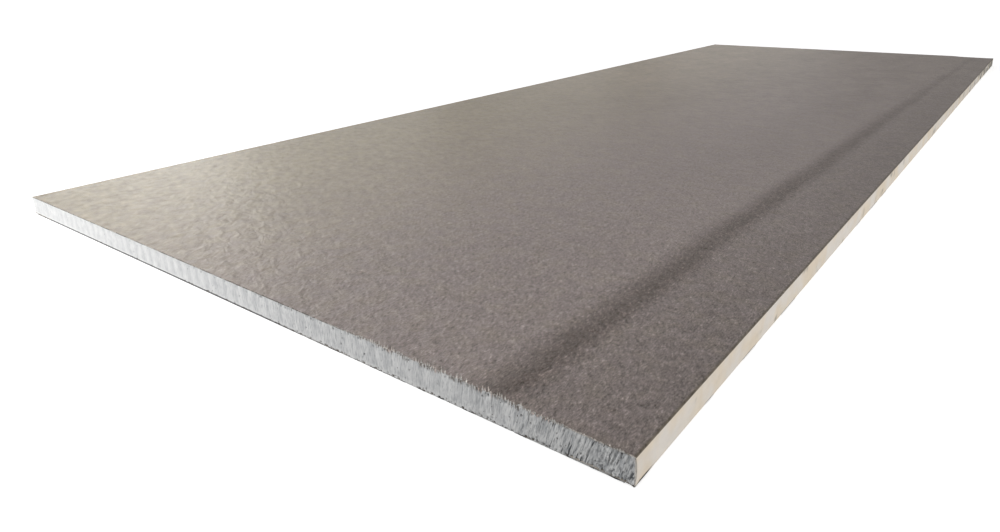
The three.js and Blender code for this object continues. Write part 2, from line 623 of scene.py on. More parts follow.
def felt_settings(spot, darkened):
    """Values for the fibre group's inputs, which change over the face."""
    margin = margin_mask(spot)
    fade = spot.along_ramp(-1, -0.1, 1.0, margin.between(*FELT_FADE))
    calm = spot.across_ramp(-1, 0.2, FELT_CALM_LEFT, 1.0)
    contrast = margin.between(*FELT_CONTRAST) * fade * calm * (darkened * FELT_BAND_GAIN + 1.0)
    ripple = spot.across_ramp(-1, 0.5, *FELT_RIPPLE) * spot.along_ramp(-0.97, -0.68, *RIPPLE_FADE)
    settings = {"Fleck Contrast": contrast, "Ripple": ripple}
    settings["Mottle Contrast"] = spot.along_ramp(-0.6, 0.6, *FELT_MOTTLE)
    settings["Grain"] = spot.across_ramp(-1, 1, *FELT_GRAIN)
    for label, ends in (("Fine", FELT_FINE), ("Coarse", FELT_COARSE), ("Fleck Relief", FELT_RELIEF)):
        settings[label] = spot.across_ramp(-1, 0.5, *ends)
    return settings


print("fleck contrast is", FELT_CONTRAST[0], "on the face and", FELT_CONTRAST[1], "on the margin")

# %% [markdown]
# ## The face
# Now the face can be put together. Its grey-brown is painted shade: it is the same paper as the cream
# edge, painted darker where less light falls on it. It is warmer in places, at the left front as a
# painted warm sheen, and it carries the painted light and shade above and the painted shade of the
# ramp. A thin dark line of dirt and painted shade runs just inside the arris, where the paper turns down.
# It is not a groove, so a mask draws it and not the mesh. Beside the cut end the lifted fibres are
# painted on, pale, with painted shadow in the gaps between the strands. The light glancing off the felt
# is a little yellow, which is a plain tint on the shader.

# %% Face finish
FACE_SHADED_TONE = srgb(143, 132, 130)
FACE_SHADED_TONE_WARM = srgb(158, 147, 127)
FACE_SHEEN_TONE = srgb(255, 236, 204)
BAND_SHADE_TONE = srgb(101, 91, 88)
ARRIS_DIRT_AND_SHADE_TONE = srgb(96, 89, 80)
ARRIS_DIRT_AND_SHADE_FROM = half_width - ARRIS_RADIUS - 1.3 * MM
ARRIS_DIRT_AND_SHADE_TO = half_width - 0.3 * ARRIS_RADIUS
LIFTED_TONE = srgb(206, 202, 196)
LIFTED_TONE_WARM = srgb(208, 197, 189)
LIFTED_GAP_SHADOW_TONE = srgb(112, 104, 98)


def lifted_colour(spot, line):
    """Pale fibres, pinkish in places, with some strands painted dark as shadow in the gaps between them."""
    pink = line_noise(spot.across, 60.0).ramp(0.0, 0.1)
    # Some strands are painted dark, as shadow in the gaps between the pale ones.
    strand_gap_shadow = line_noise(line, 1300.0, detail=0.0).ramp(-0.12, -0.02)
    return blend(strand_gap_shadow, LIFTED_GAP_SHADOW_TONE, blend(pink, LIFTED_TONE, LIFTED_TONE_WARM))


def make_face_finish():
    paper = Paper("grey_face_paper_in_painted_shade", fibres=520, fleck=0.8, hair=0.06, mottle=0.15, ripple=3.2,
                  roughness=0.45, relief=0.6 * MM)
    feed(paper.shader, {"Specular Tint": FACE_SHEEN_TONE})
    spot = Spot(paper.tree)
    darkened = painted_band_shade(spot)
    feed(paper.weave, felt_settings(spot, darkened))
    arris_dirt_and_shade = spot.across.ramp(ARRIS_DIRT_AND_SHADE_FROM, ARRIS_DIRT_AND_SHADE_TO)
    lifted = lifted_fibres(paper.tree)
    # The grey is the cream paper painted in shade, and its warmth is partly a painted warm sheen.
    grey = toned(blend(warmth_and_painted_sheen(spot), FACE_SHADED_TONE, FACE_SHADED_TONE_WARM), face_tone_and_painted_light(spot))
    # Over the grey lie the painted shade of the ramp, a thin arris line of dirt and painted shade, and the
    # lifted fibres.
    return paper.painted(layered(
        grey, (darkened, BAND_SHADE_TONE), (arris_dirt_and_shade * arris_dirt_and_shade, ARRIS_DIRT_AND_SHADE_TONE),
        (lifted["Pale"], lifted_colour(spot, lifted["Line"]))))


face_finish = make_face_finish()
print("finish:", face_finish.name)

# %% [markdown]
# ## The edge
# The cream edge is the same sheet, but drawn tight, so it needs far less fibre. A plain colour would
# look like plastic, so faint warm stains stay in it. Patches of painted shadow lie along the foot of the
# edge, grime lies towards its far end, and beside the cut a short dark line of painted shadow runs along
# the foot.

# %% Edge paper
EDGE_TONE = srgb(222, 215, 206)
EDGE_TONE_WARM = srgb(221, 208, 189)
FOOT_PATCH_SHADOW_TONE = srgb(84, 79, 72)
FOOT_PATCH_SHADOW_HEIGHT = (0.5 * MM, 1.3 * MM)
FOOT_SHADOW_TONE = srgb(58, 55, 50)
FOOT_HEIGHT = (1.1 * MM, 1.9 * MM)
FOOT_STARTS = (-half_length + 1.5 * MM, -half_length + 4.5 * MM)
FOOT_STOPS = (-half_length + 9 * MM, -half_length + 18 * MM)
FAR_GRIME_TONE = srgb(128, 126, 118)


def make_edge_finish():
    paper = Paper("cream_edge_paper", fibres=300, fleck=0.05, hair=0.02, mottle=0.1, ripple=0.5,
                  roughness=0.62, relief=0.03 * MM)
    spot = Spot(paper.tree)
    stains = noise(spot.place, 45.0, detail=3.0).ramp(-0.14, 0.14)
    # Patches of painted shadow at the foot of the edge.
    foot_patch_shadow = spot.up.ramp(*FOOT_PATCH_SHADOW_HEIGHT, 1.0, 0.0) * noise(spot.place, 20.0, detail=3.0).ramp(0.05, 0.1)
    # A short dark line of painted shadow along the foot, beside the cut.
    foot = spot.up.ramp(*FOOT_HEIGHT, 1.0, 0.0)
    foot = foot * spot.along.ramp(*FOOT_STARTS, 0.0, 0.95) * spot.along.ramp(*FOOT_STOPS, 1.0, 0.0)
    far = (noise(spot.place, 60.0) + spot.along_ramp(0.2, 1, -0.14, 0.1)).ramp(-0.04, 0.16)
    far = far * maths("GREATER_THAN", spot.across, 0.0)
    cream = blend(stains, EDGE_TONE, EDGE_TONE_WARM)
    return paper.painted(layered(cream, (foot_patch_shadow, FOOT_PATCH_SHADOW_TONE), (foot, FOOT_SHADOW_TONE), (far, FAR_GRIME_TONE)))


edge_finish = make_edge_finish()
print("finish:", edge_finish.name)

# %% [markdown]
# ## Torn paper
# Torn paper is paler than its printed or rubbed surface, because it shows the inside of the sheet. The
# torn rim of the face paper is pale and stroked where it tore roughly, with painted shadow between the
# strokes, and a thin dark line with pale gaps where it was cut clean. One tone for the whole rim would
# look like a painted stripe. Loose fibres have much the same tones, and each keeps one of them along its
# whole length, since they are picked by the distance across the board alone.

# %% Torn paper and loose fibres
TORN_TONE = srgb(198, 197, 196)
TORN_TONE_WARM = srgb(214, 201, 193)
TORN_GAP_SHADOW_TONE = srgb(148, 142, 136)
CUT_RIM_TONE = srgb(98, 94, 87)
CUT_RIM_TONE_PALE = srgb(186, 182, 176)
FIBRE_TONE = srgb(226, 224, 221)
FIBRE_TONE_WARM = srgb(228, 212, 204)
FIBRE_TONE_DARK = srgb(134, 126, 119)


def make_torn_finish():
    paper = Paper("torn_paper", fibres=1500, fleck=0.6, hair=0.2, mottle=0.2, ripple=0.0,
                  roughness=0.9, relief=0.12 * MM)
    spot = Spot(paper.tree)
    lifted = lifted_fibres(paper.tree)
    warm = noise(spot.place, 90.0).ramp(0.05, 0.1)
    strokes = lifted["Stroke"].ramp(-0.05, 0.06)
    # Painted shadow between the pale strokes.
    rough = blend(strokes, TORN_GAP_SHADOW_TONE, blend(warm, TORN_TONE, TORN_TONE_WARM))
    gaps = noise(spot.place, 60.0) + noise(spot.place, 420.0) + spot.across_ramp(0.4, 0.8, 0.0, 0.07)
    clean = blend(gaps.ramp(-0.02, 0.14), CUT_RIM_TONE, CUT_RIM_TONE_PALE)
    return paper.painted(blend(lifted["Rough"], clean, rough))


def make_fibre_finish():
    paper = Paper("loose_fibres", fibres=1500, fleck=0.3, hair=0.1, mottle=0.2, ripple=0.0,
                  roughness=0.9, relief=0.05 * MM)
    across = Spot(paper.tree).across
    warm = line_noise(across, 60.0).ramp(0.0, 0.12)
    pale = line_noise(across, 900.0, detail=0.0).ramp(-0.06, 0.04)
    return paper.painted(blend(pale, FIBRE_TONE_DARK, blend(warm, FIBRE_TONE, FIBRE_TONE_WARM)))


torn_finish = make_torn_finish()
fibre_finish = make_fibre_finish()
print("finishes:", torn_finish.name, fibre_finish.name)

# %% [markdown]
# ## Back paper
# The back is plain brown recycled paper. Its cut rim is painted dark, as the shadow line at the foot of
# the cut end, and from the middle of the board towards the recessed edge that painted shadow breaks into
# pale patches. Such breaks would need shapes of their own if they were modelled, but on a rim this thin
# a mask from noise is enough.

# %% Back paper finishes
BACK_TONE = srgb(138, 130, 121)
BACK_RIM_SHADOW_TONE = srgb(64, 64, 66)
BACK_RIM_TONE_PALE = srgb(176, 176, 175)


def make_back_finish():
    paper = Paper("brown_back_paper", fibres=520, fleck=0.4, hair=0.15, mottle=0.25, ripple=1.0,
                  roughness=0.8, relief=0.12 * MM)
    return paper.painted(BACK_TONE[:3])


def make_back_rim_finish():
    paper = Paper("back_paper_rim", fibres=900, fleck=0.4, hair=0.1, mottle=0.2, ripple=0.0,
                  roughness=0.9, relief=0.1 * MM)
    spot = Spot(paper.tree)
    # The rim is painted dark as shadow, and the painted shadow breaks into pale patches.
    unshaded_patches = noise(spot.place, 170.0, detail=3.0) + spot.across_ramp(0.1, 0.4, -0.3, 0.06)
    return paper.painted(blend(unshaded_patches.ramp(-0.04, 0.06), BACK_RIM_SHADOW_TONE, BACK_RIM_TONE_PALE))


back_finish = make_back_finish()
back_rim_finish = make_back_rim_finish()
print("finishes:", back_finish.name, back_rim_finish.name)

# %% [markdown]
# ## Marks in the gypsum
# Set gypsum is a white mass of tiny crystals with air bubbles in it. A cut end shows chatter waves about
# 11 mm apart, which grow wider apart towards the recess, and thin lines, upright on the left and
# slanted near the recess, where the gypsum broke. The waves are in the mesh, and their shade is also
# painted into the colour. Two of these marks, the lines and the pores, are finer than a mesh should be,
# so they are noise stretched along the lines, as bands of painted shade, and small dark cells of
# painted shadow.

# %% Gypsum marks
UPRIGHT_LEAN, SCRATCH_LEAN = 0.04, 0.32
BROKEN_FROM = (0.56 * half_width, 0.95 * half_width)
CHATTER_PITCH = 11.2 * MM
CHATTER_SPREAD = 3500 * MM
CHATTER_PAINTED_SHADE = (-0.05, -0.2)
LINE_PAINTED_SHADE = (0.3, 2.0)
MIDDLE_PAINTED_SHADE = (1.0, 0.91)
BROKEN_PAINTED_SHADE = (0.0, 0.96)
CORNER_PAINTED_SHADE = (1.0, 0.88)
CORNER_PAINTED_LIGHT = (0.0, 0.07)


def slanted_place(spot, broken):
    """Coordinates in which marks grow long, upright at the left and slanted in the broken part."""
    lean = broken * (UPRIGHT_LEAN - SCRATCH_LEAN) - UPRIGHT_LEAN
    parts = {"X": spot.up * lean + spot.across, "Y": spot.along * 0.4, "Z": spot.up * 0.14}
    return make_field(spot.place.tree, "ShaderNodeCombineXYZ", parts)


def painted_chatter_and_line_shade(spot, slanted):
    """Painted shade of the waves across the cut end and of thin lines between them."""
    turns = (spot.across * (-1 / CHATTER_SPREAD) + 1.0) * spot.across * (2 * math.pi / CHATTER_PITCH)
    wave = maths("COSINE", noise(spot.place, 14.0, detail=1.0) * 2.0 + turns)
    lines = noise(slanted, 460.0, roughness=0.9) * spot.across_ramp(-0.4, 0.3, *LINE_PAINTED_SHADE)
    return wave * spot.across_ramp(-0.8, -0.2, *CHATTER_PAINTED_SHADE) + lines


def open_pores(spot, broken):
    """Small bubbles opened by the cut, painted dark as the shadow inside them."""
    cells = {"Vector": spot.place, "Scale": 420.0}
    bubbles = make_field(spot.place.tree, "ShaderNodeTexVoronoi", cells, output="Distance")
    picked = maths("GREATER_THAN", noise(spot.place, 300.0, detail=0.0), broken * -0.12 + 0.18)
    return bubbles.ramp(0.06, 0.2, 1.0, 0.0) * picked


def cut_end_painted_light_and_shade(spot):
    """How light the cut end is, near 1: painted shade past the middle and at the corner beside the recess,
    with a little painted light back right beside the edge.
    """
    middle = spot.across_ramp(-0.2, 0.6, *MIDDLE_PAINTED_SHADE)
    shade = maths("MAXIMUM", middle, spot.across_ramp(0.62, 0.84, *BROKEN_PAINTED_SHADE))
    return shade * (spot.across_ramp(0.9, 0.97, *CORNER_PAINTED_LIGHT) + spot.across_ramp(0.78, 0.85, *CORNER_PAINTED_SHADE))


print("chatter is", round(CHATTER_PITCH / MM, 1), "mm apart")

# %% [markdown]
# ## Gypsum
# The mesh below carries the deep marks of the cut, and it stores how deep each point lies, because dust
# and shade gather in the deep marks and make them darker. A lamp alone would not darken them enough.
# The material reads that depth, and adds the fine marks with their shade painted into the colour, the
# dense, paler skin of gypsum that lies against the back paper, a dark line of painted shadow along the
# foot of the left part, and painted light and shade over the whole end.

# %% Gypsum finish
GYPSUM_TONE = srgb(240, 240, 239)
GYPSUM_DULL_AND_SHADED = srgb(208, 209, 210)
GYPSUM_DEEP = srgb(128, 130, 132)
GYPSUM_SCRATCH_SHADE = srgb(160, 163, 166)
GYPSUM_GASH_SHADOW = srgb(88, 91, 94)
PORE_SHADOW_TONE = srgb(84, 80, 76)
FOOT_LINE_SHADOW_TONE = srgb(104, 105, 109)
FOOT_LINE_SHADOW_HEIGHT = (0.85 * MM, 1.2 * MM)
DENSE_SKIN = (1.3 * MM, 3.4 * MM)
MIDDLE_MARKS, BROKEN_MARKS = 0.4, 0.8
PLAIN_DULLNESS = 0.45
GYPSUM_RELIEF = 0.16 * MM


def make_gypsum_finish():
    material, tree, shader = new_material("cut_gypsum")
    spot = Spot(tree)
    broken = spot.across.ramp(*BROKEN_FROM)
    slanted = slanted_place(spot, broken)
    scratches = noise(slanted, 1200.0, roughness=0.7)
    grain = noise(spot.place, 1500.0, detail=3.0, roughness=0.6)
    patches = noise(spot.place, 160.0, detail=4.0)
    pores = open_pores(spot, broken)
    depth = make_field(tree, "ShaderNodeAttribute", output="Fac", attribute_name="cut_depth")

    # The chatter waves and lines here are painted shade; the patches and grain are the gypsum's own tone.
    marks_and_painted_shade = painted_chatter_and_line_shade(spot, slanted) + patches * 1.3 + scratches * 1.5 + grain * 0.8
    marks_and_painted_shade = (marks_and_painted_shade + PLAIN_DULLNESS).clamped()
    marked = maths("MAXIMUM", broken * BROKEN_MARKS, spot.across_ramp(-0.2, 0.35, 0.0, MIDDLE_MARKS))
    # Rare dark gashes, painted as shadow in deep narrow cracks.
    gashes = noise(slanted, 800.0, detail=1.0).ramp(0.12, 0.2) * broken.ramp(0.4, 1.0)
    skin = spot.up.ramp(*DENSE_SKIN, 0.7, 0.0) * (1.0 - broken)
    # A dark line of painted shadow along the foot of the left part.
    foot_line_shadow = spot.up.ramp(*FOOT_LINE_SHADOW_HEIGHT, 1.0, 0.0) * spot.across_ramp(0.1, 0.4, 0.9, 0.0)
    # The scratches are painted shade and the gashes painted shadow; the depth darkens with dust and shade.
    colour = layered(
        blend(marks_and_painted_shade, GYPSUM_TONE, GYPSUM_DULL_AND_SHADED), (scratches.ramp(-0.02, 0.14) * marked, GYPSUM_SCRATCH_SHADE),
        (gashes, GYPSUM_GASH_SHADOW), (depth, GYPSUM_DEEP), (skin, GYPSUM_TONE), (pores, PORE_SHADOW_TONE))
    # Painted light and shade over the whole cut end.
    colour = blend(foot_line_shadow, toned(colour, cut_end_painted_light_and_shade(spot)), FOOT_LINE_SHADOW_TONE)

    height = scratches * (broken * -1.2 - 1.0) + grain - pores
    feed(shader, {"Base Color": colour, "Roughness": 0.95, "Specular IOR Level": 0.25,
                  "Normal": bumped(height, GYPSUM_RELIEF)})
    return material


gypsum_finish = make_gypsum_finish()
print("finish:", gypsum_finish.name)

# %% [markdown]
# ## Tools for making the meshes
# The pieces are sheets of points in rows and columns, moved by smooth random heights. Blender has
# modifiers for this, but numpy moves a hundred thousand points at once and gives the same result on
# every run, because each field of heights has its own seed.

# %% Random heights
NOISE_SIZE = 256


def rise(values, low, high):
    """Grows smoothly from 0 at low to 1 at high."""
    part = np.clip((values - low) / (high - low), 0, 1)
    return part * part * (3 - 2 * part)


def smooth_noise(u, v, seed):
    """Smooth random heights from 0 to 1, one bump for each unit of u and v."""
    heights = np.random.default_rng(seed).random((NOISE_SIZE, NOISE_SIZE))
    u, v = np.broadcast_arrays(u, v)
    column, row = np.floor(u).astype(int), np.floor(v).astype(int)
    s, t = rise(u - column, 0, 1), rise(v - row, 0, 1)

    def at(right, up):
        return heights[(column + right) % NOISE_SIZE, (row + up) % NOISE_SIZE]
    near = at(0, 0) * (1 - s) + at(1, 0) * s
    far = at(0, 1) * (1 - s) + at(1, 1) * s
    return near * (1 - t) + far * t


print("random heights repeat after", NOISE_SIZE, "bumps")

# %% [markdown]
# ## Sheets and shells
# The core and both papers are closed bodies. Two sheets of points, with strips of faces between them
# along all four sides, make such a body without a boolean or a modifier. A sheet can be of any form,
# as long as both have as many rows and columns.

# %% Mesh helpers
def placed(across, along, height):
    """A list of points. The three arrays are widened to the same shape first."""
    return np.stack(np.broadcast_arrays(across, along, height), axis=-1).reshape(-1, 3)


def grid_faces(rows, columns, first=0):
    """The four-cornered faces of a sheet of points, row by row."""
    corner = first + np.arange((rows - 1) * columns).reshape(rows - 1, columns)[:, :-1].ravel()
    return np.stack([corner, corner + 1, corner + columns + 1, corner + columns], axis=1)


def strip_faces(*lines):
    """Faces of the strips between lines of as many points, one strip after another."""
    strips = [np.stack([first[:-1], first[1:], second[1:], second[:-1]], axis=1)
              for first, second in zip(lines[:-1], lines[1:])]
    return np.concatenate(strips)


def shell_faces(rows, columns, rim_steps=0):
    """Faces of a closed shell: an outer sheet of points, an inner one, and the extra lines of its rims."""
    count = rows * columns
    numbers = np.arange(count).reshape(rows, columns)
    extra = 2 * count + np.arange(2 * rim_steps * columns).reshape(2, rim_steps, columns)
    outer = grid_faces(rows, columns)
    inner = grid_faces(rows, columns, count)[:, ::-1]
    front = strip_faces(numbers[0], *extra[0], numbers[0] + count)[:, ::-1]
    rear = strip_faces(numbers[-1], *extra[1], numbers[-1] + count)
    left = strip_faces(numbers[:, 0], numbers[:, 0] + count)
    right = strip_faces(numbers[:, -1], numbers[:, -1] + count)[:, ::-1]
    if not rim_steps:
        return outer, inner, front, rear, left, right
    corners = [[numbers[row, column], *extra[end, :, column], numbers[row, column] + count]
               for end, row in ((0, 0), (1, -1)) for column in (0, -1)]
    # Two of the four corner faces have to run the other way, so that all of them face outwards.
    corners[0].reverse()
    corners[3].reverse()
    return outer, inner, front, rear, left, right, np.array(corners)


def make_piece(name, points, faces, face_materials, materials, smooth=True):
    """A mesh object from numpy arrays. face_materials gives a material's number for each face."""
    mesh = bpy.data.meshes.new(name)
    mesh.vertices.add(len(points))
    mesh.vertices.foreach_set("co", np.asarray(points, dtype=np.float32).ravel())
    mesh.loops.add(faces.size)
    mesh.loops.foreach_set("vertex_index", faces.astype(np.int32).ravel())
    mesh.polygons.add(len(faces))
    mesh.polygons.foreach_set("loop_start", np.arange(len(faces), dtype=np.int32) * faces.shape[1])
    mesh.polygons.foreach_set("material_index", np.asarray(face_materials, dtype=np.int32))
    mesh.polygons.foreach_set("use_smooth", np.full(len(faces), smooth))
    for material in materials:
        mesh.materials.append(material)
    mesh.update(calc_edges=True)
    mesh.validate()
    piece = add_object(name, mesh)
    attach(piece, "root")
    return piece


print("a shell of 2 by 2 points has", len(np.concatenate(shell_faces(2, 2))), "faces")

# %% [markdown]
# ## Lines of the section
# Every sheet follows the same section as the solids. The solids' own faces could be divided, but a line
# worked out from the sizes has its points just where they are needed. One function gives the drop of
# the face at a distance across the board. Another gives the line of the face paper, from fold to fold,
# at a depth inside the outer surface. Its points lie closer together towards the recessed edge.

# %% Section
FACE_COLUMNS = 1050
COLUMN_CROWDING = 0.35
ARRIS_POINTS, SIDE_POINTS, FOLD_POINTS = 7, 9, 4


def recess_drop(across):
    """How far the face lies below full height."""
    from_edge = half_width - np.asarray(across)
    past_foot = np.clip(1 - from_edge / (RECESS_WIDTH - RAMP_WIDTH), 0, 1)
    return RAMP_DROP * rise(RECESS_WIDTH - from_edge, 0, RAMP_WIDTH) + (EDGE_DROP - RAMP_DROP) * past_foot


def fold_height(across):
    """Height of the folded sheet's underside, which sags a little outside the back paper."""
    past = np.clip((np.abs(across) - back_high.x) / (half_width - FOLD_RADIUS - back_high.x), 0, 1)
    return back_paper_thickness - FOLD_SAG * past


def edge_line(inset, drop):
    """Across and height, from the top of the right-hand arris to the bottom of the one below it."""
    radius, fold_radius = ARRIS_RADIUS - inset, FOLD_RADIUS - inset
    upper = board_top - drop - ARRIS_RADIUS
    lower = fold_height(half_width) + FOLD_RADIUS
    turn = np.linspace(math.pi / 2, 0, ARRIS_POINTS)
    side = np.linspace(upper, lower, SIDE_POINTS)[1:-1]
    across = [half_width - ARRIS_RADIUS + radius * np.cos(turn), np.full(len(side), half_width - inset),
              half_width - FOLD_RADIUS + fold_radius * np.cos(turn - math.pi / 2)]
    height = [upper + radius * np.sin(turn), side, lower + fold_radius * np.sin(turn - math.pi / 2)]
    return np.concatenate(across), np.concatenate(height)


def crowded(low, high, count):
    """Numbers from low to high that lie closer together towards the high end."""
    share = np.linspace(0, 1, count)
    share = (1 - COLUMN_CROWDING) * share + COLUMN_CROWDING * (1 - (1 - share) ** 2)
    return low + (high - low) * share


def wrap_line(inset):
    """The face paper's line from the left fold to the right one."""
    left_x, left_z = edge_line(inset, 0.0)
    right_x, right_z = edge_line(inset, EDGE_DROP)
    face_x = crowded(-left_x[0], right_x[0], FACE_COLUMNS)[1:-1]
    face_z = board_top - recess_drop(face_x) - inset
    fold_x = np.concatenate([np.linspace(half_width - FOLD_RADIUS, back_high.x, FOLD_POINTS)[1:],
                             np.linspace(back_high.x, half_width - FOLD_WIDTH, FOLD_POINTS)[1:]])
    fold_z = fold_height(fold_x) + inset
    across = np.concatenate([-fold_x[::-1], -left_x[::-1], face_x, right_x, fold_x])
    height = np.concatenate([fold_z, left_z[::-1], face_z, right_z, fold_z])
    return across, height


wrap_x, wrap_z = wrap_line(0.0)
wrap_inner_x, wrap_inner_z = wrap_line(face_paper_thickness)
print("the face paper's line has", len(wrap_x), "points")

# %% [markdown]
# ## Marks of the cut
# A board is scored and snapped, or sawn, to length. The end then shows thin upright ribs, and towards
# the recessed edge deep slanted streaks where the gypsum broke away in flakes. Bump mapping alone would
# leave the outline straight, so each point of the end is pushed back by a depth. Ribs and streaks are
# random heights, narrow across the board and tall, stretched along one slanted direction.

# %% Marks of the cut
CHATTER_DEPTH, RIB_DEPTH, THIN_RIB_DEPTH, SPONGE_DEPTH = 0.14, 0.05, 0.1, 0.15


def cut_marks(across, height, seed):
    """Depth of the marks of the cut. Streaks are deep near the recessed edge and in the upper part."""
    x, z = across / MM, height / MM
    towards = rise(across, *BROKEN_FROM)
    slanted = x - (UPRIGHT_LEAN + (SCRATCH_LEAN - UPRIGHT_LEAN) * towards) * z

    def marks(number, wide, tall):
        """Long marks of a width and height in millimetres. Each kind has its own number."""
        return smooth_noise(slanted / wide, z / tall, seed + number)

    drift = marks(0, wide=30, tall=60)
    turns = across / CHATTER_PITCH * (1 - across / CHATTER_SPREAD)
    chatter = 0.5 - 0.5 * np.cos(2 * math.pi * (turns + 0.3 * (drift - 0.5)))
    chatter = CHATTER_DEPTH * chatter * (0.4 + 0.8 * drift) * (1 - 0.5 * towards)
    ribs = marks(1, wide=1.7, tall=30)
    thin_ribs = marks(2, wide=0.75, tall=14)
    sponge = smooth_noise(x / 0.5, z / 0.6, seed + 5) * smooth_noise(x / 1.1, z / 1.2, seed + 7)
    calm = 0.03 + chatter + RIB_DEPTH * ribs * (1 - towards) + THIN_RIB_DEPTH * thin_ribs

    upper = rise(z, 2.5, 6) * (0.35 + 0.65 * rise(z, 3, 10))
    grooves = rise(marks(3, wide=0.72, tall=6), 0.3, 0.75)
    grooves = grooves * (0.35 + 0.65 * rise(marks(6, wide=1.5, tall=5), 0.2, 0.8))
    gashes = rise(marks(8, wide=1.3, tall=7), 0.8, 0.95)
    groups = rise(marks(9, wide=9, tall=30), 0.25, 0.7)
    patches = 0.78 + 0.3 * marks(4, wide=5.5, tall=12)
    streaks = upper * patches * (0.55 * grooves + 0.2 * ribs + 0.5 * gashes)
    near_edge = rise(across, 0.78 * half_width, 0.96 * half_width)
    broken = towards * (0.3 + 0.9 * groups) * (1 - 0.12 * near_edge)
    broken = broken * (streaks + (1.1 - 0.5 * upper) * sponge)
    return MM * (calm + SPONGE_DEPTH * sponge + broken)


middle_mark = cut_marks(np.zeros(1), np.full(1, board_top / 2), seed=11)
print("the middle of the front end is cut", round(float(middle_mark[0]) / MM, 2), "mm deep")

# %% [markdown]
# ## Pits and crumbs
# The cut also opens bubbles, which leaves pits, and it crumbles the corners under both papers. A
# boolean with hundreds of balls would be slow, so each pit or crumb is a round bite: the depth of the
# points near its middle grows as a ball's would.

# %% Pits and crumbs
PITS = dict(count=60, low=1.5 * MM, high=board_top, crowding=0.6,
            radii=(0.3 * MM, 0.75 * MM), depths=(0.4 * MM, 1.1 * MM))
CRUMBS_BELOW = dict(count=230, low=0, high=1.2 * MM, crowding=0.4,
                    radii=(0.3 * MM, 0.85 * MM), depths=(0.4 * MM, 1.3 * MM))
CRUMBS_ABOVE = dict(count=150, low=board_top - 2.4 * MM, high=board_top - 0.4 * MM, crowding=0.4,
                    radii=(0.3 * MM, 0.9 * MM), depths=(0.3 * MM, 1.3 * MM))


def random_bites(rng, count, low, high, radii, depths, crowding):
    """Places, radii and depths for round bites. A crowding under 1 gathers them at the recessed edge."""
    across = half_width * (2 * rng.random(count) ** crowding - 1)
    height = rng.uniform(low, high, count)
    return across, height, rng.uniform(*radii, count), rng.uniform(*depths, count)


def bitten(across, height, depth, bites):
    """The depth after round bites out of the surface. Where two bites overlap, the deeper one counts."""
    bite = np.zeros_like(across)
    for x, z, radius, deepest in zip(*bites):
        near = np.abs(across - x) < radius
        off = ((across[near] - x) ** 2 + (height[near] - z) ** 2) / radius ** 2
        bite[near] = np.maximum(bite[near], deepest * np.sqrt(np.clip(1 - off, 0, 1)))
    return np.maximum(depth, 0.5 * depth + bite)


print("each cut end has", PITS["count"], "pits and", CRUMBS_BELOW["count"] + CRUMBS_ABOVE["count"], "crumbs")

# %% [markdown]
# ## The cut ends
# A cut end is one fine sheet of points that fills the section of the core, between the two papers.
# Subdividing a face would spread its points evenly, but here the columns lie closer together towards
# the recessed edge, where the marks are finer. The front and the rear end have the same kinds of marks
# from different seeds.

# %% Cut ends
CORE_COLUMNS = 1840
CORE_ROWS = 26
DEEPEST_CUT = 2.2 * MM


def core_span(across):
    """The height of the core's underside and top at a distance across."""
    def rounding(outer_radius):
        radius = outer_radius - face_paper_thickness
        past = np.clip(np.abs(across) - (half_width - outer_radius), 0, radius)
        return radius - np.sqrt(radius ** 2 - past ** 2)
    fold = np.where(np.abs(across) > half_width - FOLD_WIDTH, face_paper_thickness, 0)
    low = fold_height(across) + fold + rounding(FOLD_RADIUS)
    high = board_top - face_paper_thickness - recess_drop(across) - rounding(ARRIS_RADIUS)
    return low, high


def cut_end(seed):
    """Across, height and depth of the points of one cut end."""
    across = crowded(core_low.x, core_high.x, CORE_COLUMNS)
    low, high = core_span(across)
    height = low + (high - low) * np.linspace(0, 1, CORE_ROWS)[:, None]
    across = np.broadcast_to(across, height.shape)
    rng = np.random.default_rng(seed)
    depth = cut_marks(across, height, seed)
    for kind in (PITS, CRUMBS_BELOW, CRUMBS_ABOVE):
        depth = bitten(across, height, depth, random_bites(rng, **kind))
    return across, height, np.clip(depth, 0, DEEPEST_CUT)


front_cut = cut_end(seed=11)
rear_cut = cut_end(seed=47)
print("cut ends are up to", round(float(front_cut[2].max() / MM), 2), "mm deep")

# %% [markdown]
# ## The core
# The two ends are joined by plain walls, which the papers cover. They could be left out, but then the
# mesh would be open. They start at the last point of each end, so a crumbled corner is crumbled in the
# wall too. The depth of every point goes into the mesh as an attribute, which the gypsum material reads.

# %% Core
DEEP_FROM = 0.25 * MM
DEEP_TO = 1.3 * MM
CORE_SHARP_ANGLE = math.radians(60)


def make_core():
    ends = [placed(across, side * (half_length - depth), height)
            for side, (across, height, depth) in ((-1, front_cut), (1, rear_cut))]
    faces = np.concatenate(shell_faces(CORE_ROWS, CORE_COLUMNS))
    one_finish = np.zeros(len(faces))
    core = make_piece("gypsum_core_dressed", np.concatenate(ends), faces, one_finish, [gypsum_finish])
    core.data.set_sharp_from_angle(angle=CORE_SHARP_ANGLE)
    depths = np.concatenate([front_cut[2].ravel(), rear_cut[2].ravel()])
    darkness = np.clip((depths - DEEP_FROM) / (DEEP_TO - DEEP_FROM), 0, 1)
    stored = core.data.attributes.new("cut_depth", "FLOAT", "POINT")
    stored.data.foreach_set("value", darkness.astype(np.float32))
    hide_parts("gypsum_core")
    return core


core = make_core()
print("core has", len(core.data.polygons), "faces")

# %% [markdown]
# ## Torn ends of the papers
# The ends of the papers are where a real board looks least like a drawing. They tear in ragged teeth
# that are long in some places and short in others. Cutting the teeth out with a boolean would leave
# ragged faces, so the rows of points themselves are pulled back, each point by its own distance. They
# lie close together at the ends, where the tear is, and far apart between them.

# %% Rows along the board
END_ROWS = np.array([0, 0.7, 1.8, 4, 9, 20]) * MM
MIDDLE_ROWS = 32


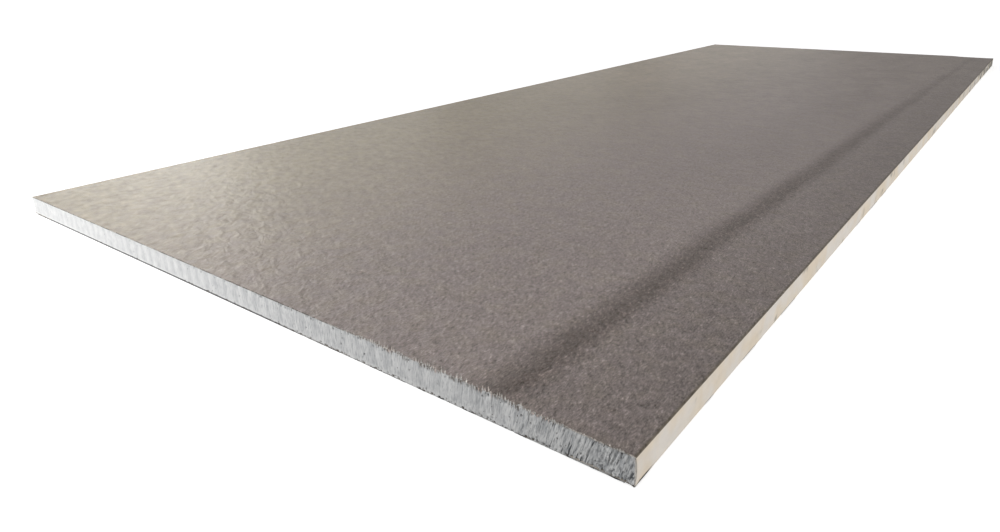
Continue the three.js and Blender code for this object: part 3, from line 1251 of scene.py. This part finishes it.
def row_places():
    """Distances from the front end of the rows of points, close together at both ends."""
    middle = np.linspace(END_ROWS[-1], 2 * half_length - END_ROWS[-1], MIDDLE_ROWS)[1:-1]
    return np.concatenate([END_ROWS, middle, 2 * half_length - END_ROWS[::-1]])


def torn_back(path, across, seed, calm, wild, bow=0.0):
    """How far the paper is torn back at each point of its cut end. It tears more near the recessed edge."""
    step = path / MM

    def bumps(number, wide):
        """Bumps of a width in millimetres along the paper. Each kind has its own number."""
        return smooth_noise(step / wide, 0.5, seed + number)

    teeth = bumps(0, wide=1.15) * bumps(1, wide=3.1)
    nicks = bumps(2, wide=0.8) ** 2
    patch = rise(bumps(3, wide=9), 0.3, 0.75)
    rough = rise(across, *ROUGH_FROM) * (1 - 0.25 * rise(across, *ROUGH_TO))
    reach = calm + (wild - calm) * rough * (0.2 + 0.8 * patch)
    on_edge = np.abs(across) > half_width - 1.2 * ARRIS_RADIUS
    return np.where(on_edge, 1.2 * calm * nicks + bow, reach * (0.05 + 1.2 * teeth + 0.6 * nicks))


def rows_between(front, rear):
    """Each row's place along the board, pulled in at the ends by how far the paper is torn back there."""
    places = row_places()[:, None]
    length = 2 * half_length
    front_pull = front * np.clip(1 - places / END_ROWS[-1], 0, 1)
    rear_pull = rear * np.clip(1 - (length - places) / END_ROWS[-1], 0, 1)
    return places + front_pull - rear_pull - half_length


print("each paper has", len(row_places()), "rows of points")

# %% [markdown]
# ## The face paper
# The sheet is a closed shell: an outer surface, an inner one half a millimetre inside it, and the torn
# rims that join them at both ends. The outer ply tears further back than the inner one, so a step and
# then a slope of pale fibres show. A Solidify modifier would give the thickness but not those rims, so
# each rim is a few lines of points between the two surfaces, with strips of faces between the lines.
# Broad dips of a tenth of a millimetre keep the face from looking like glass under skimming light.

# %% Face paper sheet
DIP_DEPTH = 0.14 * MM
BROAD_DIPS, SMALL_DIPS = (0.11, 0.17), (0.031, 0.052)
FACE_TEAR = dict(calm=0.7 * MM, wild=1.9 * MM)
RIM_STEPS = ((0.95, 0.35), (0.4, 0.6))
INNER_TEAR = 0.2
EDGE_BOW = 1.4 * MM
FACE_KIND, EDGE_KIND, TORN_KIND = 0, 1, 2
GREY_ENDS_AT = board_top - EDGE_DROP - 0.8 * ARRIS_RADIUS
PAPER_SHARP_ANGLE = math.radians(35)


def face_tears():
    """How far the face paper is torn back, all along its line, at the front and at the rear."""
    path = np.concatenate([[0], np.cumsum(np.hypot(np.diff(wrap_x), np.diff(wrap_z)))])
    bow = EDGE_BOW * np.clip(np.sin(math.pi * wrap_z / board_top), 0, 1) ** 1.5
    return [torn_back(path, wrap_x, seed, bow=bow, **FACE_TEAR) for seed in (71, 83)]


def dips(along):
    """Depth of the broad and small dips of the face. A size is a dip's width and length."""
    def bumps(size, seed):
        return smooth_noise(wrap_x / size[0], along / size[1], seed)
    on_face = rise(half_width - np.abs(wrap_x), 0.6 * ARRIS_RADIUS, 8 * MM) * (wrap_z > board_top / 2)
    return DIP_DEPTH * on_face * (0.7 * bumps(BROAD_DIPS, 5) + 0.3 * bumps(SMALL_DIPS, 6))


def face_kinds(parts, rows):
    """Which finish each face has: grey above the arris, where the paper is painted in shade, cream below it,
    and torn at the rims.
    """
    middle_z = (wrap_z[:-1] + wrap_z[1:]) / 2
    across_kind = np.where(middle_z < GREY_ENDS_AT, EDGE_KIND, FACE_KIND)
    rim_kind = np.concatenate([across_kind, np.full(len(across_kind) * len(RIM_STEPS), TORN_KIND)])
    kinds = [np.tile(across_kind, rows - 1), np.full(len(parts[1]), EDGE_KIND), rim_kind, rim_kind]
    return np.concatenate(kinds + [np.full(len(part), TORN_KIND) for part in parts[4:]])


def make_face_paper(tears):
    outer_y = rows_between(*tears)
    inner_y = rows_between(*(INNER_TEAR * tear for tear in tears))
    points = [placed(wrap_x, outer_y, wrap_z - dips(outer_y)), placed(wrap_inner_x, inner_y, wrap_inner_z)]
    for side, tear in zip((-1, 1), tears):
        for back, inset in RIM_STEPS:
            line_x, line_z = wrap_line(inset * face_paper_thickness)
            points.append(placed(line_x, side * (half_length - back * tear), line_z))
    parts = shell_faces(*outer_y.shape, len(RIM_STEPS))
    sheet = make_piece("face_paper_dressed", np.concatenate(points), np.concatenate(parts),
                       face_kinds(parts, len(outer_y)), [face_finish, edge_finish, torn_finish])
    sheet.data.set_sharp_from_angle(angle=PAPER_SHARP_ANGLE)
    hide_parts("face_paper")
    return sheet


front_tear, rear_tear = face_tears()
face_sheet = make_face_paper([front_tear, rear_tear])
print("face paper has", len(face_sheet.data.polygons), "faces")

# %% [markdown]
# ## The back paper
# The back sheet is flat and lies on the floor. It stops a few millimetres short of the long edges and
# covers the folds of the face paper, so a narrow shadow gap runs under both edges. It could be a plain
# box, but it is torn at the cut ends too, only less, so it is made in the same way as the face paper.

# %% Back paper
BACK_COLUMNS = 400
BACK_TEAR = dict(calm=0.08 * MM, wild=1.4 * MM)
UNDER_TEAR = 0.3


def make_back_paper():
    across = np.linspace(back_low.x, back_high.x, BACK_COLUMNS)
    tears = [torn_back(across - back_low.x, across, seed, **BACK_TEAR) for seed in (91, 97)]
    under_y = rows_between(*(UNDER_TEAR * tear for tear in tears))
    points = [placed(across, rows_between(*tears), back_high.z), placed(across, under_y, back_low.z)]
    parts = shell_faces(*under_y.shape)
    on_rim = np.concatenate([np.full(len(part), number > 1) for number, part in enumerate(parts)])
    sheet = make_piece("back_paper_dressed", np.concatenate(points), np.concatenate(parts), on_rim,
                       [back_finish, back_rim_finish], smooth=False)
    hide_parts("back_paper")
    return sheet


back_sheet = make_back_paper()
print("back paper has", len(back_sheet.data.polygons), "faces")

# %% [markdown]
# ## One torn fibre
# Where paper tears, single fibres and small tufts hang over the gypsum. Hair curves could draw them,
# but small solid slivers export as plain mesh. Each is a three-sided needle that starts in the torn
# rim, bends forward and ends in a point.

# %% Needles
POINTS_PER_NEEDLE, FACES_PER_NEEDLE = 7, 10


def slivers(roots, middles, tips, widths, side):
    """Points and triangles of three-sided needles that bend from lying along the board to hanging."""
    turn = np.array([0, 2, 4]) * math.pi / 3
    upright = np.stack([np.cos(turn), np.zeros(3), np.sin(turn)], axis=1)[None] * widths[:, None, None] / 2
    tilted = upright * np.array([1, 0, 0.7]) + upright[..., 2:] * np.array([0, 0.7 * side, 0])
    points = np.concatenate([roots[:, None] + upright, middles[:, None] + tilted, tips[:, None]], axis=1)
    pattern = [[2, 1, 0]]
    for corner, after in ((0, 1), (1, 2), (2, 0)):
        pattern += [[corner, after, 3 + after], [corner, 3 + after, 3 + corner], [3 + corner, 3 + after, 6]]
    faces = np.array(pattern)[None] + POINTS_PER_NEEDLE * np.arange(len(roots))[:, None, None]
    return points.reshape(-1, 3), faces.reshape(-1, 3)


print("a needle has", POINTS_PER_NEEDLE, "points and", FACES_PER_NEEDLE, "faces")

# %% [markdown]
# ## Torn fibres
# Real fibres stand close together where the paper tore roughly, near the recessed edge, and gather in
# tufts. So many more places are drawn than are needed, and each is kept with a chance that follows the
# roughness of the tear there. Widths, bends and lengths are random too, within a range.

# %% Torn fibres
FIBRES_PER_END = 520
TRIES_PER_FIBRE = 6
TIP_GAP = 0.05 * MM
ROOT_DEPTH, BEND_DEPTH = 0.15 * MM, 0.1 * MM


def fibres_of_end(side, tear, seed):
    """Needles along one cut end. side is -1 for the front and 1 for the rear."""
    rng = np.random.default_rng(seed)
    across = rng.uniform(-1, 1, TRIES_PER_FIBRE * FIBRES_PER_END) * (half_width - 5 * MM)
    rough = rise(across, *ROUGH_FROM) * (1 - 0.7 * rise(across, *ROUGH_TO))
    tufted = 0.1 + 0.9 * rise(smooth_noise(across / (4 * MM) + 200, 0.5, seed + 1), 0.3, 0.7)
    kept = rng.random(len(across)) < (0.06 + 0.94 * rough) * tufted
    across, rough = across[kept][:FIBRES_PER_END], rough[kept][:FIBRES_PER_END]
    count = len(across)
    size = 0.35 + 0.65 * rough
    on_face = wrap_z > board_top / 2
    torn = np.interp(across, wrap_x[on_face], tear[on_face])
    width = size * rng.uniform(0.2, 0.8, count) * MM
    back = torn * rng.uniform(0.6, 1.3, count) + 0.2 * MM
    lean = back * rng.uniform(0.8, 2.0, count)
    fall = size * rng.uniform(0.2, 1.0, count) ** 2 * 3 * MM
    sway = size * rng.normal(0.1, 0.3, count) * MM
    top = board_top - recess_drop(across)
    end = half_length - TIP_GAP
    roots = placed(across - lean, side * (half_length - back), top - ROOT_DEPTH - 0.6 * width)
    middles = placed(across, side * (end - 0.4 * width), top - BEND_DEPTH - 0.5 * width)
    tips = placed(across + sway, side * end, top - 0.6 * width - fall)
    return slivers(roots, middles, tips, width, side)


def make_fibres():
    front_points, front_faces = fibres_of_end(-1, front_tear, seed=131)
    rear_points, rear_faces = fibres_of_end(1, rear_tear, seed=137)
    points = np.concatenate([front_points, rear_points])
    faces = np.concatenate([front_faces, rear_faces + len(front_points)])
    fibres = make_piece("torn_fibres", points, faces, np.zeros(len(faces)), [fibre_finish], smooth=False)
    return fibres


fibres = make_fibres()
print("torn fibres:", len(fibres.data.polygons) // FACES_PER_NEEDLE)
